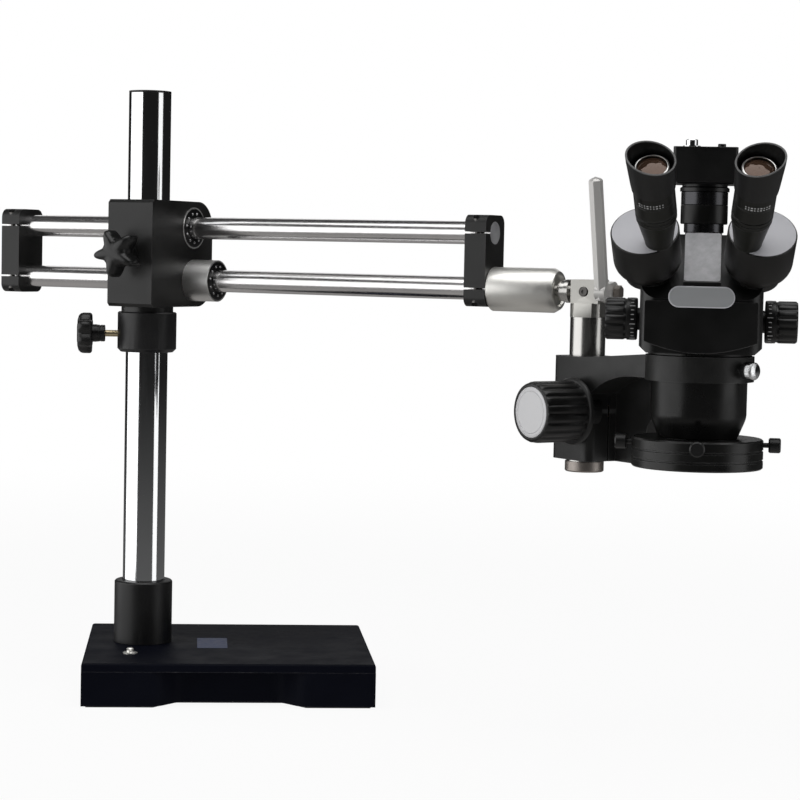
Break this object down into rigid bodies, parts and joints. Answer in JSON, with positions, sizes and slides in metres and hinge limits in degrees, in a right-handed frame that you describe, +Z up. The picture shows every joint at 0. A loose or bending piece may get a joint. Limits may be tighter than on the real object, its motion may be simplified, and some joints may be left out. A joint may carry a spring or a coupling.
{
  "type": "stereo microscope",
  "caption": "Trinocular zoom stereo microscope with ring light on a sliding twin-rod boom stand with a heavy base.",
  "frame": {"origin": "on the post's axis, on the underside of the base's rubber sheet, where it stands on the bench", "axes": "+Z up along the post; +X along the base's long side, towards its longer overhang; +Y away from the user"},
  "size_m": [0.667, 0.5996, 0.5418],
  "materials": {
    "base_paint": "satin",
    "black_paint": "satin",
    "black_alloy": "satin",
    "polished_chrome": "polished",
    "plain_steel": "machined",
    "bright_alloy": "machined",
    "bronze": "machined",
    "brass_trim": "satin",
    "black_plastic": "satin",
    "pad_rubber": "matte",
    "cup_rubber": "matte",
    "lens_glass": "polished",
    "prism_glass": "polished",
    "coated_glass": "coated",
    "frosted_plastic": "frosted",
    "circuit_board": "matte"
  },
  "bodies": {
    "stand": {"base_plate": "base_paint", "base_pad": "pad_rubber", "post_socket": "black_paint", "post": "polished_chrome", "post_cap": "black_plastic", "ground_stud": "brass_trim"},
    "collar": {"safety_collar": "black_paint", "thrust_washer": "black_plastic"},
    "collar_clamp": {"collar_knob": "black_plastic", "collar_screw": "brass_trim"},
    "carriage": {"carriage_block": "black_alloy", "swivel_bushings": "bronze", "upper_bearing": "plain_steel", "lower_bearing": "polished_chrome", "ball_retainers": "black_plastic"},
    "swivel_lock": {"star_knob": "black_plastic"},
    "boom": {"upper_rod": "polished_chrome", "lower_rod": "polished_chrome", "rear_yoke": "black_alloy", "front_yoke": "black_alloy", "yoke_screws": "plain_steel", "swivel_housing": "bright_alloy"},
    "tilt_head": {"tilt_spindle": "plain_steel", "tilt_knuckle": "plain_steel", "drop_pin": "polished_chrome", "stop_disc": "plain_steel", "lever_bolt": "plain_steel"},
    "lever": {"clamp_lever": "plain_steel"},
    "focus_carriage": {"focus_housing": "black_alloy", "pinion_bushings": "bronze"},
    "focus_drive": {"pinion_shaft": "plain_steel", "focus_knobs": "black_plastic"},
    "ring_lock": {"ring_lock_screw": "polished_chrome"},
    "head": {"zoom_body": "black_alloy", "objective_barrel": "black_alloy", "objective_lenses": "lens_glass", "objective_window": "lens_glass", "phototube": "bright_alloy", "video_camera": "black_alloy", "camera_connectors": "plain_steel"},
    "zoom_drive": {"zoom_shaft": "plain_steel", "zoom_knobs": "black_plastic"},
    "zoom_cells": {"zoom_carriage": "bright_alloy", "zoom_lenses": "lens_glass"},
    "left_pod_turret": {"left_pod": "black_alloy", "left_prism": "prism_glass", "left_eyetube": "black_alloy"},
    "right_pod_turret": {"right_pod": "black_alloy", "right_prism": "prism_glass", "right_eyetube": "black_alloy"},
    "left_ocular": {"left_eyepiece": "black_alloy", "left_eye_lens": "coated_glass", "left_eyecup": "cup_rubber"},
    "right_ocular": {"right_eyepiece": "black_alloy", "right_eye_lens": "coated_glass", "right_eyecup": "cup_rubber"},
    "ring_light": {"ring_light_housing": "black_alloy", "led_board": "circuit_board", "light_diffuser": "frosted_plastic", "light_screws": "plain_steel"}
  },
  "joints": [
    {"name": "collar_height", "type": "slide", "parent": "stand", "child": "collar", "axis": [0, 0, 1], "range_m": [-0.175, 0.09]},
    {"name": "collar_clamp_turn", "type": "hinge", "parent": "collar", "child": "collar_clamp", "pos_m": [-0.057, 0, 0.3218], "axis": [-1, 0, 0], "range_deg": [0, 270]},
    {"name": "post_swivel", "type": "hinge", "parent": "collar", "child": "carriage", "pos_m": [0, 0, 0.395], "axis": [0, 0, 1], "continuous": true},
    {"name": "swivel_lock_turn", "type": "hinge", "parent": "carriage", "child": "swivel_lock", "pos_m": [-0.0265, -0.0424, 0.3952], "axis": [-0.5299, -0.848, 0], "range_deg": [0, 270]},
    {"name": "boom_reach", "type": "slide", "parent": "carriage", "child": "boom", "axis": [0.848, -0.5299, 0], "range_m": [-0.255, 0.135]},
    {"name": "head_tilt", "type": "hinge", "parent": "boom", "child": "tilt_head", "pos_m": [0.35702, -0.17593, 0.3712], "axis": [0.848, -0.5299, 0], "range_deg": [-45, 45]},
    {"name": "lever_turn", "type": "hinge", "parent": "tilt_head", "child": "lever", "pos_m": [0.39052, -0.19686, 0.3712], "axis": [0.848, -0.5299, 0], "range_deg": [-30, 45]},
    {"name": "focus_lift", "type": "slide", "parent": "tilt_head", "child": "focus_carriage", "axis": [0, 0, 1], "range_m": [0, 0.03]},
    {"name": "focus_turn", "type": "hinge", "parent": "focus_carriage", "child": "focus_drive", "pos_m": [0.3846, -0.20535, 0.272], "axis": [-0.8788, -0.4772, 0], "range_deg": [-5, 235]},
    {"name": "ring_lock_turn", "type": "hinge", "parent": "focus_carriage", "child": "ring_lock", "pos_m": [0.47303, -0.35364, 0.3145], "axis": [0.5948, -0.8039, 0], "range_deg": [-270, 0]},
    {"name": "head_turn", "type": "hinge", "parent": "focus_carriage", "child": "head", "pos_m": [0.44329, -0.31344, 0.314], "axis": [0, 0, 1], "range_deg": [-90, 170]},
    {"name": "zoom_turn", "type": "hinge", "parent": "head", "child": "zoom_drive", "pos_m": [0.44765, -0.29393, 0.3516], "axis": [0.9759, -0.2181, 0], "range_deg": [-115, 115]},
    {"name": "zoom_travel", "type": "slide", "parent": "head", "child": "zoom_cells", "axis": [0, 0, 1], "range_m": [-0.0125, 0.0125]},
    {"name": "left_pod_turn", "type": "hinge", "parent": "head", "child": "left_pod_turret", "pos_m": [0.38847, -0.35242, 0.4216], "axis": [-0.2303, -0.6708, 0.7049], "range_deg": [-10, 45]},
    {"name": "right_pod_turn", "type": "hinge", "parent": "head", "child": "right_pod_turret", "pos_m": [0.4763, -0.37206, 0.4216], "axis": [-0.0772, -0.7051, 0.7049], "range_deg": [-45, 10]},
    {"name": "left_diopter_turn", "type": "hinge", "parent": "left_pod_turret", "child": "left_ocular", "pos_m": [0.38722, -0.39436, 0.44512], "axis": [-0.2303, -0.6708, 0.7049], "range_deg": [-60, 60]},
    {"name": "right_diopter_turn", "type": "hinge", "parent": "right_pod_turret", "child": "right_ocular", "pos_m": [0.45957, -0.41053, 0.44512], "axis": [-0.0772, -0.7051, 0.7049], "range_deg": [-60, 60]},
    {"name": "ring_light_turn", "type": "hinge", "parent": "head", "child": "ring_light", "pos_m": [0.44329, -0.31344, 0.245], "axis": [0, 0, 1], "range_deg": [-170, 170]}
  ],
  "couplings": [
    {"joint": "focus_turn", "follows": "focus_lift", "rad_per_m": 133.33},
    {"joint": "zoom_travel", "follows": "zoom_turn", "m_per_rad": -0.006},
    {"joint": "right_pod_turn", "follows": "left_pod_turn", "ratio": -1}
  ]
}
